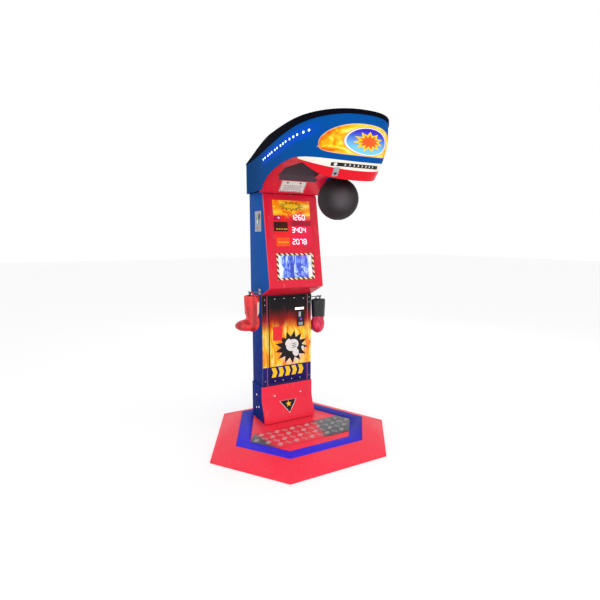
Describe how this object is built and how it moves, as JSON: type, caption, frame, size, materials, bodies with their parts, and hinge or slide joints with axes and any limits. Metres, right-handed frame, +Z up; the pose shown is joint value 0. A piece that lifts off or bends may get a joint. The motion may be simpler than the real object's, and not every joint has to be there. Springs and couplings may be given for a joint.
{
  "type": "boxing punch machine",
  "caption": "Arcade strength tester: a ball hanging from a pivot under a cantilevered hood, on a lit column with a coin door, standing on a ramped six-sided base.",
  "frame": {"origin": "on the floor, at the middle of the plan box", "axes": "+Z up, -Y towards the player, +X to the right when seen from the front"},
  "size_m": [1.464, 1.458, 2.1943],
  "materials": {
    "red_paint": "gloss red paint on sheet steel",
    "ring_blue": "gloss blue-violet paint",
    "tread_steel": "chequer plate, red paint worn off",
    "frame_steel": "black paint on steel",
    "blue_board": "gloss blue paint on board",
    "printed_front": "printed flame artwork under gloss laminate",
    "chrome": "plated",
    "black_gloss": "gloss black",
    "button_purple": "translucent moulding",
    "zinc_steel": "zinc plated",
    "dark_plastic": "satin",
    "circuit_board": "solder mask",
    "picture_lens": "backlit printed pane",
    "blue_shell": "gloss blue moulding",
    "red_shell": "gloss red moulding",
    "light_strip": "lit strip",
    "rubber": "moulded",
    "ball_leather": "matte dark hide",
    "glove_vinyl": "padded red vinyl"
  },
  "bodies": {
    "machine": {"ramp_skirt": "red_paint", "floor_plate": "red_paint", "foot_skirt": "red_paint", "front_cover": "red_paint", "ring_trim": "ring_blue", "tread_plate": "tread_steel", "base_frame": "frame_steel", "column_frame": "frame_steel", "hood_frame": "frame_steel", "bearing_left": "frame_steel", "bearing_right": "frame_steel", "solenoid": "frame_steel", "foot_side_left": "blue_board", "foot_side_right": "blue_board", "column_side_left": "blue_board", "column_side_right": "blue_board", "upper_side_left": "blue_board", "upper_side_right": "blue_board", "rear_panel": "blue_board", "front_frame": "printed_front", "score_lens": "printed_front", "door_hinge": "chrome", "picture_bezel": "black_gloss", "top_cover": "black_gloss", "cash_box": "zinc_steel", "power_supply": "zinc_steel", "side_plate": "zinc_steel", "glove_hook_left": "zinc_steel", "glove_hook_right": "zinc_steel", "mains_inlet": "dark_plastic", "speaker": "dark_plastic", "recess_tub": "dark_plastic", "encoder_sensor": "dark_plastic", "main_board": "circuit_board", "score_board": "circuit_board", "picture_lens": "picture_lens", "hood_shell": "blue_shell", "lower_rim": "red_shell", "hood_liner": "red_shell", "light_strip_left": "light_strip", "light_strip_right": "light_strip", "stop_bumper": "rubber"},
    "swing": {"swing_arm": "zinc_steel", "pivot_shaft": "zinc_steel", "punch_ball": "ball_leather", "encoder_disc": "dark_plastic"},
    "pawl": {"latch_pawl": "zinc_steel"},
    "plunger_rod": {"plunger": "chrome"},
    "door": {"coin_door": "printed_front", "coin_plate": "black_gloss", "coin_mech": "zinc_steel"},
    "lock_barrel": {"door_lock": "chrome"},
    "reject": {"reject_button": "button_purple"},
    "flap": {"return_flap": "chrome"},
    "side_lock_barrel": {"side_lock": "chrome"},
    "rear_hatch": {"rear_door": "blue_board"},
    "rocker": {"power_rocker": "dark_plastic"},
    "glove_l": {"glove_left": "glove_vinyl"},
    "glove_r": {"glove_right": "glove_vinyl"}
  },
  "joints": [
    {"name": "ball_swing", "type": "hinge", "parent": "machine", "child": "swing", "pos_m": [0, -0.438, 1.995], "axis": [1, 0, 0], "range_deg": [0, 88]},
    {"name": "latch_lift", "type": "hinge", "parent": "machine", "child": "pawl", "pos_m": [0.053, -0.363, 2.022], "axis": [-1, 0, 0], "range_deg": [0, 12], "stiffness_Nm_per_rad": 0.6},
    {"name": "plunger_pull", "type": "slide", "parent": "machine", "child": "plunger_rod", "axis": [0, 0, -1], "range_m": [0, 0.006]},
    {"name": "coin_door_swing", "type": "hinge", "parent": "machine", "child": "door", "pos_m": [-0.1575, 0.255, 0.716], "axis": [0, 0, -1], "range_deg": [0, 100]},
    {"name": "door_lock_turn", "type": "hinge", "parent": "door", "child": "lock_barrel", "pos_m": [0.132, 0.259, 0.64], "axis": [0, -1, 0], "range_deg": [0, 90]},
    {"name": "reject_press", "type": "slide", "parent": "door", "child": "reject", "axis": [0, 1, 0], "range_m": [0, 0.004], "stiffness_N_per_m": 300},
    {"name": "return_flap_swing", "type": "hinge", "parent": "door", "child": "flap", "pos_m": [0.117, 0.2564, 0.8446], "axis": [1, 0, 0], "range_deg": [0, 60]},
    {"name": "side_lock_turn", "type": "hinge", "parent": "machine", "child": "side_lock_barrel", "pos_m": [-0.221, 0.294, 1.622], "axis": [1, 0, 0], "range_deg": [0, 90]},
    {"name": "rear_door_swing", "type": "hinge", "parent": "machine", "child": "rear_hatch", "pos_m": [0.153, 0.461, 0.628], "axis": [0, 0, -1], "range_deg": [0, 105]},
    {"name": "rocker_tilt", "type": "hinge", "parent": "machine", "child": "rocker", "pos_m": [0.074, 0.457, 0.15], "axis": [1, 0, 0], "range_deg": [0, 16]},
    {"name": "glove_left_swing", "type": "hinge", "parent": "machine", "child": "glove_l", "pos_m": [-0.289, 0.277, 1.103], "axis": [1, 0, 0], "range_deg": [-25, 25]},
    {"name": "glove_right_swing", "type": "hinge", "parent": "machine", "child": "glove_r", "pos_m": [0.289, 0.277, 1.038], "axis": [1, 0, 0], "range_deg": [-25, 25]}
  ],
  "couplings": [
    {"joint": "plunger_pull", "follows": "latch_lift", "m_per_rad": 0.025}
  ]
}
